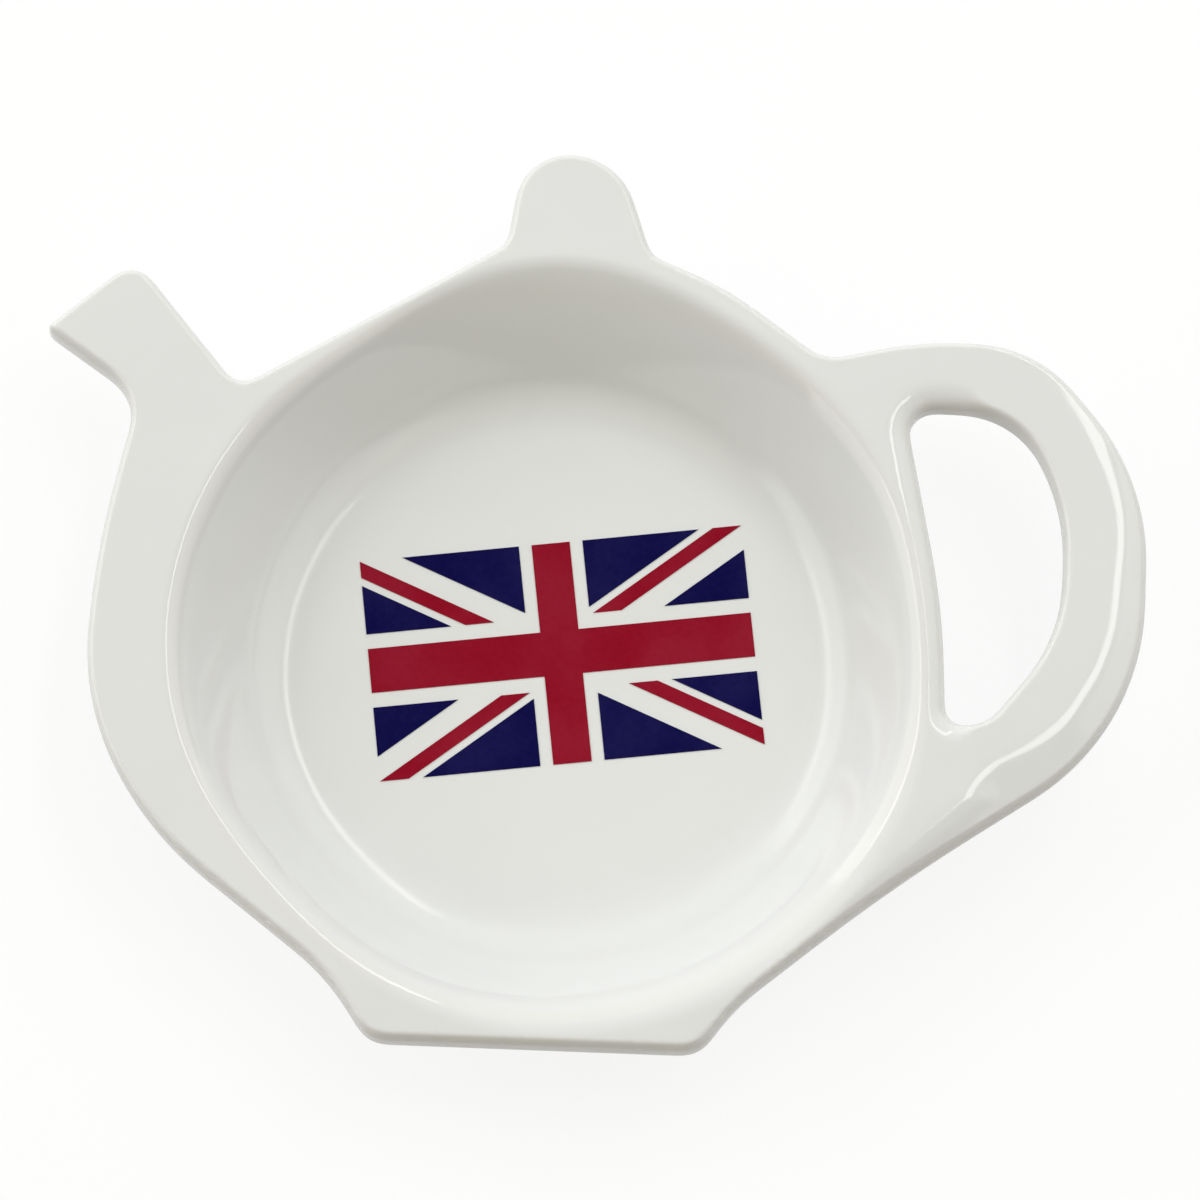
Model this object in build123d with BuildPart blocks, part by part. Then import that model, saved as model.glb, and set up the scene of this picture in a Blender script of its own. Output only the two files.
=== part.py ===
"""Teapot-shaped tea bag rest: one glazed dish with a fired enamel flag on the floor of its well."""
import os
from math import atan2, cos, hypot, radians, sin, sqrt, tan

from build123d import *

# Heights, stacked up from the table
FOOT_HEIGHT = 1.2
WALL_THICKNESS = 3.4
WELL_DEPTH = 12.4
RIM_THICKNESS = 5.2

# Round well: sloping wall, rolled lip, wide blend into a flat floor
WELL_RADIUS = 40.8
WALL_SLOPE = 55.0
LIP_ROUND = 1.8
LIP_LIFT = 0.05
FLOOR_BLEND = 7.5
BOWL_OVERLAP = 0.6

# Ring that the dish stands on, under the corner of the bowl
FOOT_WIDTH = 3.2
FOOT_BEVEL = 0.6

# Edge of the rim: round above, drawn in below, with an upright band between
EDGE_BAND = 0.8
EDGE_DRAFT = 1.3

# Lid knob
KNOB_RISE = 15.0
KNOB_WIDTH = 10.5
KNOB_LEAN = -0.35
KNOB_ROOT_ROUND = 2.2

# Spout, with its mouth cut slantwise to a sharp lower lip
SPOUT_BEARING = 144.25
SPOUT_REACH = 23.2
SPOUT_MOUTH = 12.5
MOUTH_SLOPE = 42.1
SPOUT_LIP_ROUND = 2.9
SPOUT_ROOT_ROUND = 2.2
THROAT_ROUND = 6.0

# Handle loop, measured from the well's edge and from the handle's top and outer side
HANDLE_REACH = 23.1
HANDLE_DROP = 4.5
HANDLE_HEIGHT = 42.0
HANDLE_SHOULDER_DROP = 14.2
HANDLE_SHOULDER_RUN = 12.7
HANDLE_TOP_RUN = 25.4
HANDLE_ROOT_ROUND = 4.5

# Hole of the handle loop, measured the same way
HANDLE_BAND = 9.0
HANDLE_TOP_BAND = 7.4
HOLE_HEIGHT = 35.3
HOLE_SHOULDER_DROP = 10.3
HOLE_SHOULDER_RUN = 5.7
HOLE_ELBOW_DROP = 24.9
HOLE_TOE_RUN = 7.9
HOLE_WAIST_DROP = 22.4
HOLE_CORNER_ROUND = 2.8
HOLE_TOE_ROUND = 1.8
HOLE_CORNER_RIM = 6.2
HOLE_WAIST_RIM = 1.7
HOLE_TOE_RIM = 2.4

# Corners of the rim: bearing about the well, anticlockwise from the handle's side
FOOT_RIGHT_BEARING = -67.4
WAIST_RIGHT_BEARING = -60.4
FLANK_RIGHT_BEARING = -32.4
HANDLE_ROOT_BEARING = 50.0
SHOULDER_RIGHT_BEARING = 67.4
KNOB_ROOT_RIGHT_BEARING = 78.7
KNOB_ROOT_LEFT_BEARING = 98.7
SPOUT_ROOT_BEARING = 142.0
SPOUT_THROAT_BEARING = 150.4
BELLY_HIGH_BEARING = 169.4
BELLY_LOW_BEARING = 189.1
HIP_LEFT_BEARING = 207.5
WAIST_LEFT_BEARING = 239.0
FOOT_LEFT_BEARING = 248.5

# Width of the rim at those corners, beyond the well's edge
FOOT_RIGHT_RIM = 6.1
WAIST_RIGHT_RIM = 2.9
FLANK_RIGHT_RIM = 4.0
HANDLE_ROOT_RIM = 3.1
SHOULDER_RIGHT_RIM = 4.0
KNOB_ROOT_RIGHT_RIM = 4.7
KNOB_ROOT_LEFT_RIM = 4.9
SPOUT_ROOT_RIM = 3.9
SPOUT_THROAT_RIM = 12.0
BELLY_HIGH_RIM = 9.4
BELLY_LOW_RIM = 9.7
HIP_LEFT_RIM = 6.5
WAIST_LEFT_RIM = 1.9
FOOT_LEFT_RIM = 6.1

# Rounding of the outline
FOOT_CORNER_ROUND = 3.6
ROUND_GAP = 0.05

# Flag decal on the floor
FLAG_PROPORTION = 1.69
FLAG_TURN = 8.4
FLAG_SHIFT_X = 1.1
FLAG_SHIFT_Y = 2.4
FLAG_MARGIN = 0.2
ENAMEL_THICKNESS = 0.08

# Flag layout, on a field of sixty units by thirty
FIELD_HALF_WIDTH = 30.0
FIELD_HALF_HEIGHT = 15.0
CROSS_HALF = 3.0
CROSS_CLEAR_HALF = 5.0
DIAGONAL_RED = 2.0
DIAGONAL_CLEAR_HALF = 3.0

# A corner marked so is as round as its two sides allow, and the spout's lower lip stays sharp
FULL_ROUND = None
SHARP = 0


def about_well(bearing, width):
    """Point at a bearing about the well, that width beyond its edge."""
    reach = WELL_RADIUS + width
    return (reach * cos(radians(bearing)), reach * sin(radians(bearing)))


def beside_well(height, width):
    """Point at a height on the handle's side of the well, that width beyond its edge."""
    return (sqrt((WELL_RADIUS + width) ** 2 - height**2), height)


def corner_rounds(corners):
    """Radius at each corner of an outline, never more than its two sides have room for."""
    rounds = []
    for index, (point, wanted) in enumerate(corners):
        corner = Vector(*point)
        before = Vector(*corners[index - 1][0]) - corner
        after = Vector(*corners[(index + 1) % len(corners)][0]) - corner
        room = min(before.length, after.length) / 2 - ROUND_GAP
        largest = room * tan(radians(before.get_angle(after)) / 2)
        rounds.append(largest if wanted is FULL_ROUND else min(wanted, largest))
    return rounds


# Heights that follow from the stack
bowl_base = FOOT_HEIGHT
floor_height = bowl_base + WALL_THICKNESS
rim_top = floor_height + WELL_DEPTH
rim_underside = rim_top - RIM_THICKNESS
edge_round = (RIM_THICKNESS - EDGE_BAND) / 2

# Outline of the teapot, anticlockwise from the foot
handle_right = WELL_RADIUS + HANDLE_REACH
handle_top = WELL_RADIUS - HANDLE_DROP
knob_top = WELL_RADIUS + KNOB_RISE
mouth_x, mouth_y = about_well(SPOUT_BEARING, SPOUT_REACH)
mouth_half_x = SPOUT_MOUTH / 2 * cos(radians(MOUTH_SLOPE))
mouth_half_y = SPOUT_MOUTH / 2 * sin(radians(MOUTH_SLOPE))
outline = [
    (about_well(FOOT_RIGHT_BEARING, FOOT_RIGHT_RIM), FOOT_CORNER_ROUND),
    (about_well(WAIST_RIGHT_BEARING, WAIST_RIGHT_RIM), FULL_ROUND),
    (about_well(FLANK_RIGHT_BEARING, FLANK_RIGHT_RIM), FULL_ROUND),
    ((handle_right, handle_top - HANDLE_HEIGHT), FULL_ROUND),
    ((handle_right, handle_top - HANDLE_SHOULDER_DROP), FULL_ROUND),
    ((handle_right - HANDLE_SHOULDER_RUN, handle_top), FULL_ROUND),
    ((handle_right - HANDLE_TOP_RUN, handle_top), FULL_ROUND),
    (about_well(HANDLE_ROOT_BEARING, HANDLE_ROOT_RIM), HANDLE_ROOT_ROUND),
    (about_well(SHOULDER_RIGHT_BEARING, SHOULDER_RIGHT_RIM), FULL_ROUND),
    (about_well(KNOB_ROOT_RIGHT_BEARING, KNOB_ROOT_RIGHT_RIM), KNOB_ROOT_ROUND),
    ((KNOB_LEAN + KNOB_WIDTH / 2, knob_top), FULL_ROUND),
    ((KNOB_LEAN - KNOB_WIDTH / 2, knob_top), FULL_ROUND),
    (about_well(KNOB_ROOT_LEFT_BEARING, KNOB_ROOT_LEFT_RIM), KNOB_ROOT_ROUND),
    (about_well(SPOUT_ROOT_BEARING, SPOUT_ROOT_RIM), SPOUT_ROOT_ROUND),
    ((mouth_x + mouth_half_x, mouth_y + mouth_half_y), SPOUT_LIP_ROUND),
    ((mouth_x - mouth_half_x, mouth_y - mouth_half_y), SHARP),
    (about_well(SPOUT_THROAT_BEARING, SPOUT_THROAT_RIM), THROAT_ROUND),
    (about_well(BELLY_HIGH_BEARING, BELLY_HIGH_RIM), FULL_ROUND),
    (about_well(BELLY_LOW_BEARING, BELLY_LOW_RIM), FULL_ROUND),
    (about_well(HIP_LEFT_BEARING, HIP_LEFT_RIM), FULL_ROUND),
    (about_well(WAIST_LEFT_BEARING, WAIST_LEFT_RIM), FULL_ROUND),
    (about_well(FOOT_LEFT_BEARING, FOOT_LEFT_RIM), FOOT_CORNER_ROUND),
]

# Hole of the handle, anticlockwise from its upper corner by the well
hole_right = handle_right - HANDLE_BAND
hole_top = handle_top - HANDLE_TOP_BAND
hole_bottom = hole_top - HOLE_HEIGHT
hole = [
    (beside_well(hole_top, HOLE_CORNER_RIM), HOLE_CORNER_ROUND),
    (beside_well(hole_top - HOLE_WAIST_DROP, HOLE_WAIST_RIM), FULL_ROUND),
    (beside_well(hole_bottom, HOLE_TOE_RIM), HOLE_TOE_ROUND),
    ((hole_right - HOLE_TOE_RUN, hole_bottom), FULL_ROUND),
    ((hole_right, hole_top - HOLE_ELBOW_DROP), FULL_ROUND),
    ((hole_right, hole_top - HOLE_SHOULDER_DROP), FULL_ROUND),
    ((hole_right - HOLE_SHOULDER_RUN, hole_top), FULL_ROUND),
]

# Section of the well, and of the bowl one wall thickness outside it
slope_run = 1 / tan(radians(WALL_SLOPE))
slope_tangent = tan(radians(WALL_SLOPE) / 2)
lip_height = rim_top + LIP_LIFT
lip_corner = WELL_RADIUS - LIP_ROUND * slope_tangent
lip_outer = WELL_RADIUS + LIP_ROUND
floor_corner = lip_corner - (lip_height - floor_height) * slope_run
floor_radius = floor_corner - FLOOR_BLEND * slope_tangent
bowl_corner = floor_corner + WALL_THICKNESS * slope_tangent
bowl_top = bowl_corner + (rim_underside - bowl_base) * slope_run
bowl_seat = rim_underside + BOWL_OVERLAP
foot_inner = bowl_corner - FOOT_WIDTH

# Dish: rim, bowl and foot ring moulded in one, then hollowed by the well
with BuildPart() as dish:
    with BuildSketch(Plane.XY.offset(rim_underside)):
        with BuildLine():
            FilletPolyline([point for point, _ in outline], radius=corner_rounds(outline), close=True)
        make_face()
        with BuildLine():
            FilletPolyline([point for point, _ in hole], radius=corner_rounds(hole), close=True)
        make_face(mode=Mode.SUBTRACT)
    extrude(amount=RIM_THICKNESS)
    fillet(dish.faces().sort_by(Axis.Z)[-1].edges(), edge_round)
    underside = dish.faces().sort_by(Axis.Z)[0]
    chamfer(underside.edges(), length=EDGE_DRAFT, length2=edge_round, reference=underside)
    with BuildSketch(Plane.XZ):
        with BuildLine():
            Polyline(
                (0, bowl_base), (foot_inner, bowl_base), (foot_inner, FOOT_BEVEL),
                (foot_inner + FOOT_BEVEL, 0), (bowl_corner - FOOT_BEVEL, 0),
                (bowl_corner, FOOT_BEVEL), (bowl_corner, bowl_base),
                (bowl_top, rim_underside), (bowl_top, bowl_seat), (0, bowl_seat), close=True,
            )
        make_face()
    revolve(axis=Axis.Z)
    with BuildSketch(Plane.XZ):
        with BuildLine():
            FilletPolyline(
                (0, floor_height), (floor_corner, floor_height), (lip_corner, lip_height),
                (lip_outer, lip_height), (lip_outer, lip_height + LIP_ROUND), (0, lip_height + LIP_ROUND),
                radius=[SHARP, FLOOR_BLEND, LIP_ROUND, SHARP, SHARP, SHARP], close=True,
            )
        make_face()
    revolve(axis=Axis.Z, mode=Mode.SUBTRACT)
dish.part.label = "dish"
os.makedirs("parts", exist_ok=True)
export_step(dish.part, "parts/dish.step")

# Flag: laid on the floor, turned a little, as large as the flat floor allows
flag_half_diagonal = floor_radius - FLAG_MARGIN - hypot(FLAG_SHIFT_X, FLAG_SHIFT_Y)
flag_diagonal_angle = atan2(1, FLAG_PROPORTION)
unit_x = flag_half_diagonal * cos(flag_diagonal_angle) / FIELD_HALF_WIDTH
unit_y = flag_half_diagonal * sin(flag_diagonal_angle) / FIELD_HALF_HEIGHT
flag_plane = Plane(
    origin=(FLAG_SHIFT_X, FLAG_SHIFT_Y, floor_height),
    x_dir=(cos(radians(FLAG_TURN)), sin(radians(FLAG_TURN)), 0),
    z_dir=(0, 0, 1),
)

# Colour patches in field units: part of the cross, a stripe and two triangles, mirrored to each quarter
lean = FIELD_HALF_HEIGHT / FIELD_HALF_WIDTH
clear_rise = DIAGONAL_CLEAR_HALF * hypot(1, lean)
red_rise = DIAGONAL_RED * hypot(1, lean)
quarter_arm = [(FIELD_HALF_WIDTH, CROSS_HALF), (CROSS_HALF, CROSS_HALF), (CROSS_HALF, FIELD_HALF_HEIGHT)]
stripe_middle = [(CROSS_CLEAR_HALF / lean, CROSS_CLEAR_HALF), (FIELD_HALF_WIDTH, FIELD_HALF_HEIGHT)]
stripe_above = [
    ((FIELD_HALF_HEIGHT - red_rise) / lean, FIELD_HALF_HEIGHT),
    ((CROSS_CLEAR_HALF - red_rise) / lean, CROSS_CLEAR_HALF),
]
stripe_below = [
    (FIELD_HALF_WIDTH, FIELD_HALF_HEIGHT - red_rise),
    ((CROSS_CLEAR_HALF + red_rise) / lean, CROSS_CLEAR_HALF),
]
tall_field = [
    (CROSS_CLEAR_HALF, CROSS_CLEAR_HALF * lean + clear_rise),
    (CROSS_CLEAR_HALF, FIELD_HALF_HEIGHT),
    ((FIELD_HALF_HEIGHT - clear_rise) / lean, FIELD_HALF_HEIGHT),
]
side_field = [
    ((CROSS_CLEAR_HALF + clear_rise) / lean, CROSS_CLEAR_HALF),
    (FIELD_HALF_WIDTH, CROSS_CLEAR_HALF),
    (FIELD_HALF_WIDTH, FIELD_HALF_HEIGHT - clear_rise),
]
quarters = {"upper_right": (1, 1), "upper_left": (-1, 1), "lower_left": (-1, -1), "lower_right": (1, -1)}
patches = {"red_cross": []}
for quarter, (across, up) in quarters.items():
    stripe_side = stripe_above if across == up else stripe_below
    patches["red_cross"] += [(across * x, up * y) for x, y in quarter_arm[:: across * up]]
    patches[f"red_diagonal_{quarter}"] = [(across * x, up * y) for x, y in stripe_middle + stripe_side]
    patches[f"blue_field_{quarter}_tall"] = [(across * x, up * y) for x, y in tall_field]
    patches[f"blue_field_{quarter}_side"] = [(across * x, up * y) for x, y in side_field]

# Enamel patches: thin films fired onto the glaze
for name, corners in patches.items():
    with BuildPart() as patch:
        with BuildSketch(flag_plane):
            with BuildLine():
                Polyline([(x * unit_x, y * unit_y) for x, y in corners], close=True)
            make_face()
        extrude(amount=ENAMEL_THICKNESS)
    patch.part.label = name
    export_step(patch.part, f"parts/{name}.step")
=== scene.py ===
"""Looks of a teapot-shaped tea bag rest: a white glazed dish with an enamel flag on the floor of its well."""

import math

import bmesh
import bpy
import numpy as np
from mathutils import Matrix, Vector, kdtree
from mathutils.geometry import delaunay_2d_cdt


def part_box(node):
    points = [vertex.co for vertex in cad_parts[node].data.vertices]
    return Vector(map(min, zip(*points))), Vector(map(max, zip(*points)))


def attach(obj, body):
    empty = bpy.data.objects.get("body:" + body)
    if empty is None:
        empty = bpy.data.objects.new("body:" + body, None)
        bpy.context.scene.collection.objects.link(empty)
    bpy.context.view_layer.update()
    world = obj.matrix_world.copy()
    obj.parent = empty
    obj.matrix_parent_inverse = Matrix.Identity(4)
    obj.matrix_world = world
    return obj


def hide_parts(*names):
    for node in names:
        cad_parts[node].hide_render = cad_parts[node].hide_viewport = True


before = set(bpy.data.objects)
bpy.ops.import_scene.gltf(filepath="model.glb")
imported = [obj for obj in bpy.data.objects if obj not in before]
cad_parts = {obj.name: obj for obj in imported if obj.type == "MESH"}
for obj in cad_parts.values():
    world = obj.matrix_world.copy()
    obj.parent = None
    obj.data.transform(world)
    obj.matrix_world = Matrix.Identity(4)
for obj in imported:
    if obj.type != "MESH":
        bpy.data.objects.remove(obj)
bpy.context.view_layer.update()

# Dish: one moulded body of white fired clay, shaped as a teapot, with a round well, an open handle and a foot
# ring. It is pressed and fired in one go, then dipped in glaze, which softens every edge and each corner.
# Lengths are in metres. Bearings are in degrees about the middle of the well, from the handle to the knob.
RIM_THICKNESS = 0.0052
WELL_DEPTH = 0.0124
FLOOR_CORNER = 0.03115
FLOOR_BLEND = 0.0075
WALL_SLOPE = math.radians(55)
WALL_THICKNESS = 0.0034
LIP_CORNER = 0.0403
FOOT_HEIGHT = 0.0012
FOOT_WIDTH = 0.0032

rim_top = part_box("dish")[1].z
rim_underside = rim_top - RIM_THICKNESS
rim_middle = rim_top - RIM_THICKNESS / 2
floor_height = rim_top - WELL_DEPTH
wall_rise = math.tan(WALL_SLOPE)
half_rise = math.tan(WALL_SLOPE / 2)
floor_radius = FLOOR_CORNER - FLOOR_BLEND * half_rise
blend_end = floor_radius + FLOOR_BLEND * math.sin(WALL_SLOPE)
bowl_corner = FLOOR_CORNER + WALL_THICKNESS * half_rise
foot_inner = bowl_corner - FOOT_WIDTH

# The teapot's outline and the handle's hole are read where a level plane cuts the solid's upright edge band.
# Both are traced in fine steps, and one step in every few starts a column of the mesh.
WELD = 1e-6
TRACE_STEP = 0.0001
TRACE_SOFTNESS = 0.0006
COLUMN_EVERY = 6


def slice_loops(mesh, height):
    """Closed loops of plan points where a level plane cuts a mesh, the longest first."""
    cut = bmesh.new()
    cut.from_mesh(mesh)
    bmesh.ops.remove_doubles(cut, verts=cut.verts, dist=WELD)
    everything = [*cut.verts, *cut.edges, *cut.faces]
    plane = {"plane_co": (0, 0, height), "plane_no": (0, 0, 1)}
    bmesh.ops.bisect_plane(cut, geom=everything, clear_inner=True, clear_outer=True, **plane)
    bmesh.ops.remove_doubles(cut, verts=cut.verts, dist=WELD)
    cut.verts.index_update()
    beside = {vert.index: [edge.other_vert(vert).index for edge in vert.link_edges] for vert in cut.verts}
    places = np.array([vert.co.xy for vert in cut.verts])
    cut.free()
    loops = []
    left = sorted(beside, key=lambda index: -places[index][0])
    while left:
        chain = [left[0], beside[left[0]][0]]
        while chain[-1] != chain[0]:
            ahead = [index for index in beside[chain[-1]] if index != chain[-2]]
            chain.append(ahead[0])
        loops.append(places[chain[:-1]])
        left = [index for index in left if index not in set(chain)]
    return sorted(loops, key=lambda loop: -np.ptp(loop, axis=0).sum())


def trace(loop, turn):
    """A loop at a fine even step, anticlockwise for turn 1, clockwise for -1, with its corners softened."""
    across, along = loop.T
    area = np.sum(across * np.roll(along, -1) - np.roll(across, -1) * along)
    loop = loop if area * turn > 0 else loop[::-1]
    closed = np.vstack([loop, loop[:1]])
    stations = np.concatenate([[0], np.cumsum(np.hypot(*np.diff(closed, axis=0).T))])
    count = COLUMN_EVERY * round(stations[-1] / TRACE_STEP / COLUMN_EVERY)
    even = np.linspace(0, stations[-1], count, endpoint=False)
    waves = np.fft.fftfreq(count, stations[-1] / count)
    soften = np.exp(-2 * (np.pi * waves * TRACE_SOFTNESS) ** 2)
    sides = [np.interp(even, stations, closed[:, side]) for side in (0, 1)]
    return np.column_stack([np.fft.ifft(np.fft.fft(side) * soften).real for side in sides])


def tree_of(points):
    """Search tree of plan points."""
    tree = kdtree.KDTree(len(points))
    for index, (x, y) in enumerate(points):
        tree.insert((x, y, 0), index)
    tree.balance()
    return tree


def distances(tree, points):
    """Distance of each plan point to the nearest point in a tree."""
    return np.array([tree.find((x, y, 0))[2] for x, y in points])


slices = slice_loops(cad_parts["dish"].data, rim_middle)
hole_slice = max(slices[1:], key=lambda loop: loop[:, 0].mean())
outline = trace(slices[0], 1)
hole = trace(hole_slice, -1)
edge_tree = tree_of(np.vstack([outline, hole]))
outline_tree = tree_of(outline)
hole_tree = tree_of(hole)


def inward(loop):
    """Unit normals of a traced loop, pointing into the clay."""
    run = np.roll(loop, -1, axis=0) - np.roll(loop, 1, axis=0)
    run /= np.hypot(*run.T)[:, None]
    return np.column_stack([-run[:, 1], run[:, 0]])


def smooth_min(first, second, softness):
    """Lower of two heights, with the crease between them rounded."""
    near = np.clip(1 - np.abs(first - second) / softness, 0, None)
    return np.minimum(first, second) - softness / 4 * near**2


def smooth_max(first, second, softness):
    """Higher of two heights, with the crease between them rounded."""
    return -smooth_min(-first, -second, softness)


def ease(share):
    """A share from 0 to 1, easing in and out."""
    share = np.clip(share, 0, 1)
    return share * share * (3 - 2 * share)


# Every edge is rolled over, broadly on the well's side of the handle hole, where the wall and the handle meet
EDGE_HEIGHT = 0.0016
EDGE_WIDTH = 0.0008
UNDER_EDGE_WIDTH = 0.0018
HOLE_EDGE_WIDTH = 0.0028
HOLE_EDGE_FULL = 0.0430
HOLE_EDGE_END = 0.0462


def edge_fall(inset, width):
    """How far an edge rolled over that width has fallen, at an inset from the outline."""
    short = 1 - np.clip(inset / width, 0, 1)
    return EDGE_HEIGHT * (1 - np.sqrt(1 - short**2))


def edge_width(points):
    """Width of the rolled edge, which is broader on the well's side of the handle hole."""
    near_hole = distances(hole_tree, points) < distances(outline_tree, points)
    broad = near_hole * ease((HOLE_EDGE_END - points[:, 0]) / (HOLE_EDGE_END - HOLE_EDGE_FULL))
    return EDGE_WIDTH + (HOLE_EDGE_WIDTH - EDGE_WIDTH) * broad


# The handle slopes down from its roots, and falls away more steeply outside a ridge along its outer side.
# Each place on the ridge has a bearing about the hole, an inset from the outline and the slope outside it.
HANDLE_ROOT = 0.0445
HANDLE_ROOT_LOW = -0.0146
HANDLE_SLOPE = math.tan(math.radians(3.2))
HANDLE_BEND = 0.0003
RIDGE_RUN_IN = 0.0045
RIDGE_SOFTNESS = 0.00018
RIDGE = (
    (-105, 0.0050, 12),
    (-84, 0.0050, 12),
    (-57, 0.0036, 12),
    (5, 0.0026, 12),
    (35, 0.0020, 10),
    (63, 0.0014, 4.5),
    (83, 0.0005, 3),
    (100, 0.0, 3),
)
ridge_bearings, ridge_insets, ridge_slopes = np.transpose(RIDGE)
handle_middle = (hole.min(axis=0) + hole.max(axis=0)) / 2


def handle_fall(points):
    """How far the handle lies below the rim, by its slope and by the fall outside its ridge."""
    across, along = points.T
    root = HANDLE_ROOT + np.clip(along - HANDLE_ROOT_LOW, None, 0)
    slope = smooth_max((across - root) * HANDLE_SLOPE, np.zeros_like(across), HANDLE_BEND)
    bearing = np.degrees(np.arctan2(along - handle_middle[1], across - handle_middle[0]))
    beyond = np.interp(bearing, ridge_bearings, ridge_insets) - distances(outline_tree, points)
    steepness = np.tan(np.radians(np.interp(bearing, ridge_bearings, ridge_slopes)))
    side = smooth_max(beyond * steepness, np.zeros_like(across), RIDGE_SOFTNESS)
    return slope + side * ease((across - root) / RIDGE_RUN_IN)


# The lip wanders out of round: each pull has a bearing, a spread in degrees and how far it draws the lip out.
# Below the knob it rolls over a shoulder before the wall drops. At the front, lip and floor blend are broad.
KNOB_BEARING = 90
FRONT_BEARING = 290
LIP_PULLS = (
    (KNOB_BEARING, 26, 0.0012),
    (125, 14, -0.0009),
    (225, 25, -0.0017),
    (FRONT_BEARING, 36, -0.0016),
    (8, 18, -0.0010),
)
LIP_SOFTNESS = 0.0018
SHOULDER_SPREAD = 30
SHOULDER_SLOPE = math.tan(math.radians(39))
SHOULDER_WIDTH = 0.0027
SHOULDER_MARGIN = 0.0010
SHOULDER_DROP = WELL_DEPTH / 2
SHOULDER_SOFTNESS = 0.0007
FRONT_SPREAD = 42
FRONT_LIP_SOFTNESS = 0.0052
FRONT_BLEND = 0.0045


def near_bearing(points, bearing, spread):
    """How near points lie to a bearing from the middle of the well, from 1 on it down to 0."""
    turn = np.degrees(np.arctan2(points[:, 1], points[:, 0])) - bearing
    return np.exp(-(((turn + 180) % 360 - 180) / spread) ** 2)


def top_height(points, inset):
    """Upper face: the rim with its rolled edge, the lip, the sloping wall, the blend and the floor."""
    reach = np.hypot(*points.T)
    rim = rim_top - edge_fall(inset, edge_width(points)) - handle_fall(points)
    lip = LIP_CORNER + sum(amount * near_bearing(points, *where) for *where, amount in LIP_PULLS)
    slope = np.arctan2(WELL_DEPTH, lip - FLOOR_CORNER)
    front = near_bearing(points, FRONT_BEARING, FRONT_SPREAD)
    bend = FLOOR_BLEND + FRONT_BLEND * front
    start = FLOOR_CORNER - bend * np.tan(slope / 2)
    end = start + bend * np.sin(slope)
    blend = floor_height + bend - np.sqrt(bend**2 - np.clip(reach - start, 0, end - start) ** 2)
    wall = blend + np.clip(reach - end, 0, None) * np.tan(slope)
    offset = SHOULDER_WIDTH * near_bearing(points, KNOB_BEARING, SHOULDER_SPREAD) - SHOULDER_MARGIN
    shoulder = rim_top - np.clip((lip + offset - reach) * SHOULDER_SLOPE, None, SHOULDER_DROP)
    lip_softness = LIP_SOFTNESS + FRONT_LIP_SOFTNESS * front
    return smooth_min(smooth_min(rim, shoulder, SHOULDER_SOFTNESS), wall, lip_softness)


FOOT_SOFTNESS = 0.0005
UNDER_SOFTNESS = 0.0020


def under_height(points, inset):
    """Lower face: the underside of the rim, the outside of the bowl, the foot ring and the base inside it."""
    reach = np.hypot(*points.T)
    rim = rim_underside + edge_fall(inset, UNDER_EDGE_WIDTH)
    bowl = FOOT_HEIGHT + (reach - bowl_corner) * wall_rise
    base = np.minimum(FOOT_HEIGHT, FOOT_HEIGHT - (reach - foot_inner) * wall_rise)
    middle = np.where(reach < bowl_corner - FOOT_WIDTH / 2, base, bowl)
    foot = smooth_max(middle, np.zeros_like(reach), FOOT_SOFTNESS)
    return smooth_min(rim, foot, UNDER_SOFTNESS)


# Rows of points run along the outline and the hole, rings run round the well and the foot, and an even fill
# takes the rest of each face. The rows, in hundredths of a millimetre, lie closest where the edge turns over.
HUNDREDTH = 0.00001
TOP_ROWS = (0, 2, 7, 14, 24, 36, 50, 66, 83, 100, 118, 136, 155, 180, 215, 260)
UNDER_ROWS = (0, 4, 15, 35, 65, 100, 140, 180)
ROW_TOLERANCE = TRACE_STEP / 4
MILLIMETRES = 1000
KEEP_INSIDE = 1
JOIN_WITHIN = 1e-5


def edge_rows(insets):
    """Rows of points at those insets from the outline and the hole, without any nearer to another stretch."""
    rows = []
    for loop in (outline, hole):
        normals = inward(loop)[::COLUMN_EVERY]
        for inset in insets:
            row = loop[::COLUMN_EVERY] + inset * normals
            if inset > 0:
                row = row[distances(edge_tree, row) > inset - ROW_TOLERANCE]
            rows.append((row, np.full(len(row), inset)))
    return rows


def ring_points(radii, spacing):
    """Points on rings about the well, evenly spaced."""
    rings = []
    for turn, radius in enumerate(radii):
        count = max(1, round(2 * math.pi * radius / spacing))
        angles = 2 * math.pi * (np.arange(count) + turn % 2 / 2) / count
        rings.append(radius * np.column_stack([np.cos(angles), np.sin(angles)]))
    return np.vstack(rings)


def inside(points):
    """Which plan points lie in the outline and outside the hole, by counting crossings."""
    within = np.zeros(len(points), bool)
    for loop in (outline[::COLUMN_EVERY], hole[::COLUMN_EVERY]):
        after = np.roll(loop, -1, axis=0)
        for (x1, y1), (x2, y2) in zip(loop, after):
            if y1 != y2:
                between = (points[:, 1] < y1) != (points[:, 1] < y2)
                within ^= between & (points[:, 0] < x1 + (points[:, 1] - y1) * (x2 - x1) / (y2 - y1))
    return within


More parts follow.
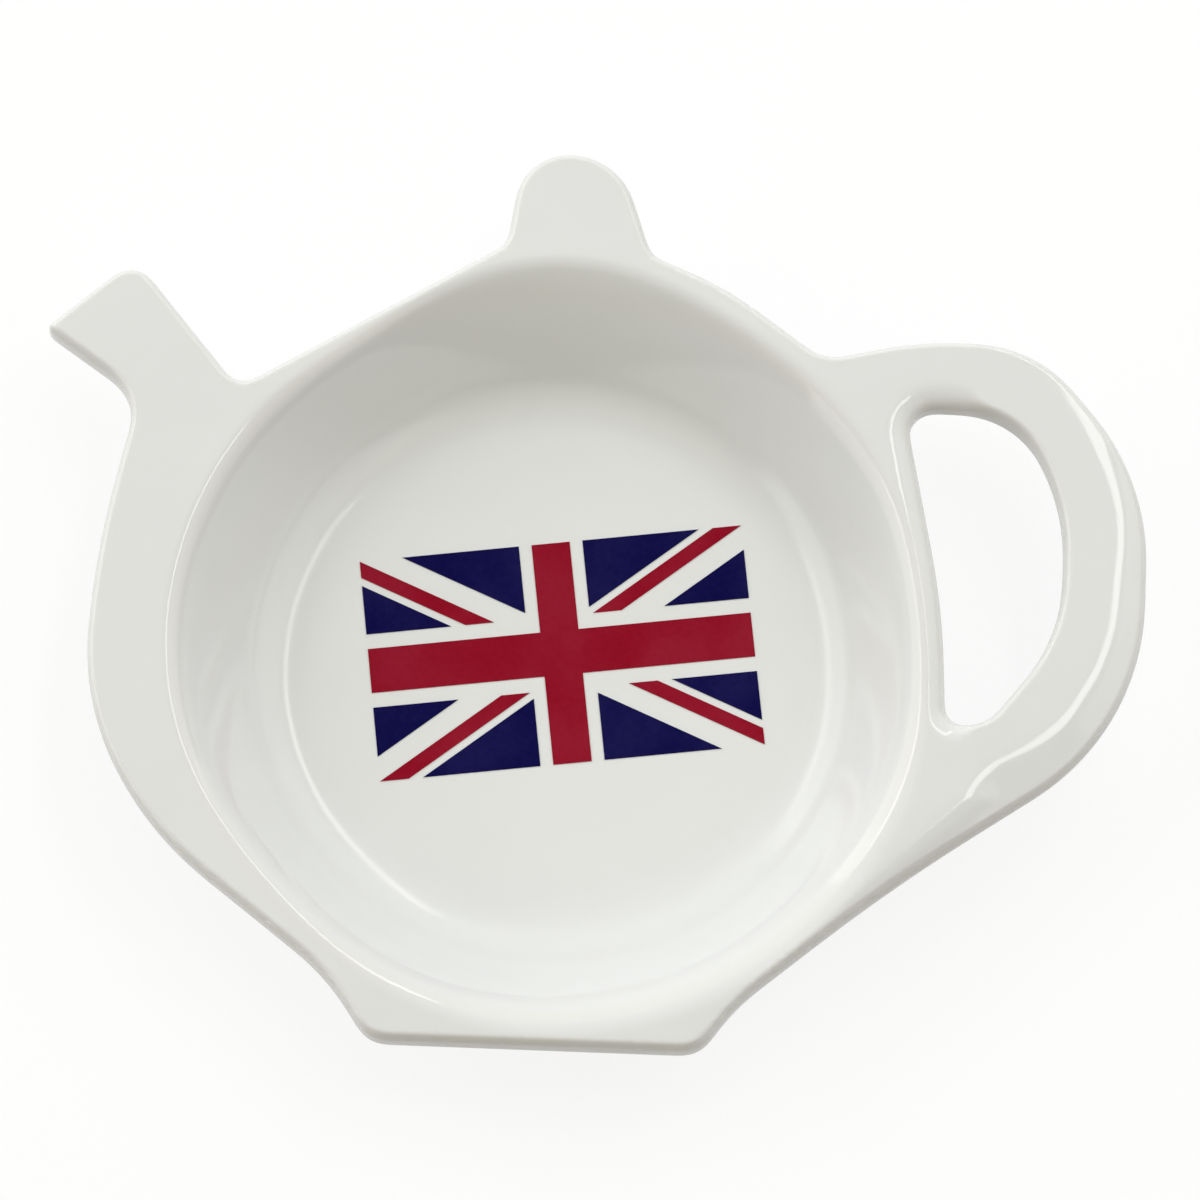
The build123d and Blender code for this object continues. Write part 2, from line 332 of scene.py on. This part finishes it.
def face_sheet(row_places, radii, ring_spacing, fill_spacing, gap):
    """Plan points of one face with their insets, the triangles that join them, and where its borders are."""
    rows = edge_rows([place * HUNDREDTH for place in row_places])
    points = np.vstack([row for row, _ in rows])
    inset = np.concatenate([depth for _, depth in rows])
    low = outline.min(axis=0)
    high = outline.max(axis=0)
    columns, ranks = np.meshgrid(
        np.arange(low[0], high[0], fill_spacing),
        np.arange(low[1], high[1], fill_spacing * math.sqrt(3) / 2),
    )
    columns[1::2] += fill_spacing / 2
    fill = np.column_stack([columns.ravel(), ranks.ravel()])
    fill = fill[np.hypot(*fill.T) > max(radii)]
    for more, room in ((ring_points(radii, ring_spacing), gap), (fill, fill_spacing / 2)):
        more = more[inside(more)]
        more = more[distances(tree_of(points), more) > room]
        points = np.vstack([points, more])
        inset = np.concatenate([inset, distances(edge_tree, more)])
    outer = len(outline) // COLUMN_EVERY
    hole_start = sum(len(row) for row, _ in rows[:len(row_places)])
    inner = len(hole) // COLUMN_EVERY
    borders = [(0, outer), (hole_start, inner)]
    edges = [(start + step, start + (step + 1) % count) for start, count in borders for step in range(count)]
    plan = [Vector(point) * MILLIMETRES for point in points]
    _, _, triangles, came_from, _, _ = delaunay_2d_cdt(plan, edges, [], KEEP_INSIDE, JOIN_WITHIN)
    triangles = [[came_from[corner][0] for corner in triangle] for triangle in triangles]
    in_hole = range(hole_start, hole_start + inner)
    triangles = [triangle for triangle in triangles if not all(corner in in_hole for corner in triangle)]
    return points, inset, triangles, borders


FLOOR_RING_STEP = 0.002
BLEND_MARGIN = 0.0065
BLEND_RINGS = 33
WALL_RINGS = 7
LIP_INSIDE = 0.0016
LIP_OUTSIDE = 0.0044
LIP_RINGS = 22
BASE_RING_STEP = 0.004
FOOT_INSIDE = 0.0004
FOOT_OUTSIDE = 0.0006
FOOT_RINGS = 18
BOWL_OUTSIDE = 0.0020
BOWL_RINGS = 14
top_radii = np.concatenate([
    np.arange(0, floor_radius - BLEND_MARGIN, FLOOR_RING_STEP),
    np.linspace(floor_radius - BLEND_MARGIN, blend_end, BLEND_RINGS),
    np.linspace(blend_end, LIP_CORNER - LIP_INSIDE, WALL_RINGS)[1:],
    np.linspace(LIP_CORNER - LIP_INSIDE, LIP_CORNER + LIP_OUTSIDE, LIP_RINGS)[1:],
])
under_radii = np.concatenate([
    np.arange(0, foot_inner - FOOT_INSIDE, BASE_RING_STEP),
    np.linspace(foot_inner - FOOT_INSIDE, bowl_corner + FOOT_OUTSIDE, FOOT_RINGS),
    np.linspace(bowl_corner + FOOT_OUTSIDE, LIP_CORNER + BOWL_OUTSIDE, BOWL_RINGS)[1:],
])
top_points, top_inset, top_triangles, top_borders = face_sheet(
    TOP_ROWS, top_radii, ring_spacing=0.0009, fill_spacing=0.0007, gap=0.0002
)
under_points, under_inset, under_triangles, under_borders = face_sheet(
    UNDER_ROWS, under_radii, ring_spacing=0.0016, fill_spacing=0.0018, gap=0.0003
)
top_count = len(top_points)
corners = np.vstack([
    np.column_stack([top_points, top_height(top_points, top_inset)]),
    np.column_stack([under_points, under_height(under_points, under_inset)]),
])
faces = [tuple(triangle) for triangle in top_triangles]
faces += [tuple(top_count + corner for corner in reversed(triangle)) for triangle in under_triangles]
for (top_start, count), (under_start, _) in zip(top_borders, under_borders):
    for step in range(count):
        ahead = (step + 1) % count
        below = top_count + under_start
        faces.append((top_start + step, below + step, below + ahead, top_start + ahead))
dish_mesh = bpy.data.meshes.new("glazed_dish")
dish_mesh.from_pydata(corners.tolist(), [], faces)
dish_mesh.validate()
dish_mesh.shade_smooth()
dish = bpy.data.objects.new("glazed_dish", dish_mesh)
bpy.context.collection.objects.link(dish)
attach(dish, "root")
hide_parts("dish")

# Glaze draws thin over the edges and the lip, and settles thicker where the floor turns up into the wall
THIN_REACH = 0.0008
POOL_WIDTH = 0.0032
reach = np.hypot(corners[:, 0], corners[:, 1])
inset = np.concatenate([top_inset, under_inset])
on_top = np.arange(len(corners)) < top_count
thin_edge = np.exp(-(inset / THIN_REACH) ** 2)
thin_lip = on_top * np.exp(-((reach - LIP_CORNER) / THIN_REACH) ** 2)
pooled = on_top * np.exp(-((reach - (floor_radius + blend_end) / 2) / POOL_WIDTH) ** 2)
for name, amount in (("thin_glaze", np.maximum(thin_edge, thin_lip)), ("pooled_glaze", pooled)):
    dish_mesh.attributes.new(name, "FLOAT", "POINT").data.foreach_set("value", amount.astype(np.float32))


class Shade:
    """A socket among a material's nodes, which adds, subtracts and multiplies as a number does."""

    def __init__(self, tree, socket=None):
        self.tree = tree
        self.socket = socket

    def node(self, kind, settings, inputs, out=0):
        """A new node: its settings first, then the value or the link of each socket. Gives one output."""
        made = self.tree.nodes.new("ShaderNode" + kind)
        for name, value in settings.items():
            setattr(made, name, value)
        for name, value in inputs.items():
            if isinstance(value, Shade):
                self.tree.links.new(value.socket, made.inputs[name])
            else:
                made.inputs[name].default_value = value
        return Shade(self.tree, made.outputs[out])

    def maths(self, operation, first, second):
        """A Math node on two values."""
        return self.node("Math", {"operation": operation}, {0: first, 1: second})

    def __add__(self, other):
        return self.maths("ADD", self, other)

    def __radd__(self, other):
        return self.maths("ADD", other, self)

    def __sub__(self, other):
        return self.maths("SUBTRACT", self, other)

    def __rsub__(self, other):
        return self.maths("SUBTRACT", other, self)

    def __mul__(self, other):
        return self.maths("MULTIPLY", self, other)

    def __rmul__(self, other):
        return self.maths("MULTIPLY", other, self)

    def blend(self, first, second):
        """A colour between two others, by this amount. Sockets 6 and 7 of a Mix node are its colours."""
        return self.node("Mix", {"data_type": "RGBA"}, {0: self, 6: first, 7: second}, 2)

    def step(self, low, high):
        """How far this value has come from one bound to the other, easing in and out."""
        bounds = {"Value": self, "From Min": low, "From Max": high}
        return self.node("MapRange", {"interpolation_type": "SMOOTHSTEP"}, bounds)

    def noise(self, per_metre, detail):
        """Cloudy noise about this place, with so many clouds to the metre."""
        return self.node("TexNoise", {}, {"Vector": self, "Scale": per_metre, "Detail": detail})

    def relief(self):
        """The surface's normal where this value is its height in metres."""
        return self.node("Bump", {}, {"Strength": 1.0, "Distance": 1.0, "Height": self})


def new_finish(name):
    """A material with one shader in it, and the place on the surface in metres."""
    finish = bpy.data.materials.new(name)
    finish.use_nodes = True
    start = Shade(finish.node_tree)
    return finish, finish.node_tree.nodes["Principled BSDF"], start.node("TexCoord", {}, {}, "Object")


def feed(shader, **sockets):
    """Sets or links the shader's sockets."""
    for name, value in sockets.items():
        socket = shader.inputs[name.replace("_", " ").title()]
        if isinstance(value, Shade):
            value.tree.links.new(value.socket, socket)
        else:
            socket.default_value = value


# White glaze has faint clouds and slow ripples. It is wiped off the foot ring, which shows the clay's grain
GLAZE = (0.842, 0.860, 0.844, 1)
GLAZE_CLOUD = (0.856, 0.874, 0.858, 1)
GLAZE_THIN = (0.858, 0.852, 0.812, 1)
GLAZE_POOLED = (0.846, 0.866, 0.846, 1)
GLAZE_IOR = 1.52
GLAZE_ROUGHNESS = 0.05
THIN_SHARE = 0.6
POOL_SHARE = 0.7
POOL_ROUGHNESS = 0.12
CLOUDS_PER_METRE = 45
CLOUD_DETAIL = 2
CLOUD_RANGE = (0.35, 0.65)
CLOUD_ROUGHNESS = 0.04
RIPPLES_PER_METRE = 110
RIPPLE_DETAIL = 1
RIPPLE_HEIGHT = 0.00008
BARE_CLAY = (0.66, 0.60, 0.52, 1)
BARE_BELOW = 0.00025
BARE_ROUGHNESS = 0.6
GRAIN_PER_METRE = 2500
GRAIN_DETAIL = 4
GRAIN_RANGE = (0.3, 0.7)
GRAIN_HEIGHT = 0.00005
glaze, glaze_shader, place = new_finish("white_glaze")
thin = place.node("Attribute", {"attribute_name": "thin_glaze"}, {}, "Fac")
pool = place.node("Attribute", {"attribute_name": "pooled_glaze"}, {}, "Fac")
clouds = place.noise(CLOUDS_PER_METRE, CLOUD_DETAIL).step(*CLOUD_RANGE)
height = place.node("SeparateXYZ", {}, {0: place}, "Z")
bare = 1 - height.step(BARE_BELOW, BARE_BELOW * 2)
grain = place.noise(GRAIN_PER_METRE, GRAIN_DETAIL)
colour = clouds.blend(GLAZE, GLAZE_CLOUD)
colour = (pool * POOL_SHARE).blend(colour, GLAZE_POOLED)
colour = (thin * THIN_SHARE).blend(colour, GLAZE_THIN)
colour = bare.blend(colour, grain.step(*GRAIN_RANGE).blend(BARE_CLAY, GLAZE_THIN))
ripple = place.noise(RIPPLES_PER_METRE, RIPPLE_DETAIL) * RIPPLE_HEIGHT + bare * grain * GRAIN_HEIGHT
gloss = GLAZE_ROUGHNESS + CLOUD_ROUGHNESS * clouds + POOL_ROUGHNESS * pool + BARE_ROUGHNESS * bare
feed(glaze_shader, base_color=colour, roughness=gloss, normal=ripple.relief())
glaze_shader.inputs["IOR"].default_value = GLAZE_IOR
dish_mesh.materials.append(glaze)

# Flag: a transfer of red and blue enamel, printed on paper, slid onto the glaze and fired until it sinks in.
# The white of the flag is the glaze between the patches. The ink lies a little uneven, as a screen leaves it.
INKS = {
    "red_enamel": ((0.285, 0.0012, 0.014, 1), (0.320, 0.0045, 0.024, 1)),
    "blue_enamel": ((0.0030, 0.0020, 0.060, 1), (0.0070, 0.0055, 0.078, 1)),
}
INK_ROUGHNESS = 0.14
INK_RANGE = (0.3, 0.7)
BLOTCHES_PER_METRE = 160
BLOTCH_DETAIL = 2
BLOTCH_SHARE = 0.6
BLOTCH_ROUGHNESS = 0.06
SPECKLE_PER_METRE = 1500
SPECKLE_DETAIL = 1
SPECKLE_SHARE = 0.4
SPECKLE_HEIGHT = 0.000004
enamels = {}
for slot, (thick_ink, thin_ink) in INKS.items():
    enamel, enamel_shader, place = new_finish(slot)
    blotches = place.noise(BLOTCHES_PER_METRE, BLOTCH_DETAIL).step(*INK_RANGE)
    speckle = place.noise(SPECKLE_PER_METRE, SPECKLE_DETAIL).step(*INK_RANGE)
    ink = (BLOTCH_SHARE * blotches + SPECKLE_SHARE * speckle).blend(thick_ink, thin_ink)
    gloss = INK_ROUGHNESS + BLOTCH_ROUGHNESS * blotches
    feed(enamel_shader, base_color=ink, roughness=gloss, normal=(speckle * SPECKLE_HEIGHT).relief())
    enamels[slot] = enamel
for name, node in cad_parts.items():
    if name != "dish":
        slot = "red_enamel" if name.startswith("red") else "blue_enamel"
        node.data.materials.clear()
        node.data.materials.append(enamels[slot])

# Floor: a plain table top of white matt paint, a hair below the foot ring so that no two faces coincide.
# The camera sees it as white, with the dish's soft shadow on it. The paint itself lights the dish, and the
# glaze mirrors a dimmer white.
FLOOR_HALF = 1.5
FLOOR_DROP = 0.00005
FLOOR_WHITE = (0.70, 0.70, 0.70, 1)
FLOOR_MIRRORED = 0.50
SHADOW_WHITE = (0.16, 0.16, 0.16, 1)
SHADOW_GLOW = 0.85
floor_plan = ((-1, -1), (1, -1), (1, 1), (-1, 1))
floor_corners = [(x * FLOOR_HALF, y * FLOOR_HALF, -FLOOR_DROP) for x, y in floor_plan]
floor_mesh = bpy.data.meshes.new("floor")
floor_mesh.from_pydata(floor_corners, [], [(0, 1, 2, 3)])
floor = bpy.data.objects.new("floor", floor_mesh)
bpy.context.collection.objects.link(floor)
white_floor = bpy.data.materials.new("white_floor")
white_floor.use_nodes = True
paint_nodes = white_floor.node_tree.nodes
paint_nodes.remove(paint_nodes["Principled BSDF"])
paint = Shade(white_floor.node_tree)
seen, glossy, passed = (
    paint.node("LightPath", {}, {}, f"Is {ray} Ray") for ray in ("Camera", "Glossy", "Transmission")
)
matt = paint.node("BsdfDiffuse", {}, {"Color": FLOOR_WHITE})
glow = paint.node("Emission", {}, {"Strength": 1.0})
to_dish = paint.node("MixShader", {}, {0: FLOOR_MIRRORED * (glossy + passed), 1: matt, 2: glow})
shaded = paint.node("BsdfDiffuse", {}, {"Color": SHADOW_WHITE})
lit = paint.node("Emission", {}, {"Strength": SHADOW_GLOW})
to_camera = paint.node("AddShader", {}, {0: shaded, 1: lit})
surface = paint.node("MixShader", {}, {0: seen, 1: to_dish, 2: to_camera})
white_floor.node_tree.links.new(surface.socket, paint_nodes["Material Output"].inputs["Surface"])
floor_mesh.materials.append(white_floor)

# Light: a studio's big dim panels of white cloth at the back, the sides and the front, one overhead, and two
# long ceiling lamps that run front to back and make the bright lines on the lip and handle. The room is dim.
ROOM_TINT = (1, 0.97, 0.92, 1)
ROOM_LIGHT = 0.02
WARM = (1.28, 1.0, 0.5)
world = bpy.data.worlds.new("room")
bpy.context.scene.world = world
world.use_nodes = True
world.node_tree.nodes["Background"].inputs["Color"].default_value = ROOM_TINT
world.node_tree.nodes["Background"].inputs["Strength"].default_value = ROOM_LIGHT


def panel(name, place, size, radiance, aim=(0, 0, 0.01), tint=(1, 1, 1)):
    """A soft panel lamp at a place, turned to the dish, its brightness in units of white paper."""
    lamp = bpy.data.lights.new(name, "AREA")
    lamp.shape = "RECTANGLE"
    lamp.size, lamp.size_y = size
    lamp.energy = radiance * math.pi * lamp.size * lamp.size_y
    lamp.color = tint
    holder = bpy.data.objects.new(name, lamp)
    holder.location = place
    holder.rotation_euler = (Vector(aim) - Vector(place)).to_track_quat("-Z", "Y").to_euler()
    bpy.context.collection.objects.link(holder)
    return holder


panel("back_panel", place=(0, 1.0, 0.5), size=(2.4, 1.0), radiance=0.74, aim=(0, 0, 0.5))
panel("left_panel", place=(-0.99, 0.13, 0.47), size=(1.8, 0.9), radiance=1.52, aim=(0, 0, 0.47))
panel("right_panel", place=(0.85, 0, 0.7), size=(1.8, 0.9), radiance=0.84)
panel("front_panel", place=(0, -0.8, 1.0), size=(1.6, 1.1), radiance=0.27, tint=WARM)
panel("right_tube", place=(0.51, 1.05, 1.5), size=(0.2, 2.1), radiance=4.5, aim=(0.51, 1.05, 0))
panel("left_tube", place=(-1.43, 0.55, 1.3), size=(0.4, 1.6), radiance=2.8, aim=(-1.43, 0.55, 0))

# The overhead panel lights the dish but isn't mirrored in it, as no lamp shows on the flat faces of the rim
upper_panel = panel("upper_panel", place=(0, 0.45, 1.11), size=(2.0, 0.9), radiance=1.10)
upper_panel.visible_glossy = False

# Camera: a long lens above the front of the dish, a little to the right of its middle, looking steeply down.
# It stands a long way off, so the sides of the dish stay almost parallel. The picture is square.
CAMERA_AZIMUTH = math.radians(2.75)
CAMERA_ELEVATION = math.radians(75)
CAMERA_DISTANCE = 0.700
CAMERA_TARGET = Vector((0.00514, 0.00578, 0.015))
CAMERA_LENS = 195
CAMERA_SENSOR = 36
back = Vector((
    math.sin(CAMERA_AZIMUTH) * math.cos(CAMERA_ELEVATION),
    -math.cos(CAMERA_AZIMUTH) * math.cos(CAMERA_ELEVATION),
    math.sin(CAMERA_ELEVATION),
))
camera_data = bpy.data.cameras.new("camera")
camera_data.lens = CAMERA_LENS
camera_data.sensor_width = CAMERA_SENSOR
camera = bpy.data.objects.new("camera", camera_data)
camera.location = CAMERA_TARGET + back * CAMERA_DISTANCE
camera.rotation_euler = back.to_track_quat("Z", "Y").to_euler()
bpy.context.collection.objects.link(camera)
bpy.context.scene.camera = camera
bpy.context.scene.view_settings.view_transform = "Standard"
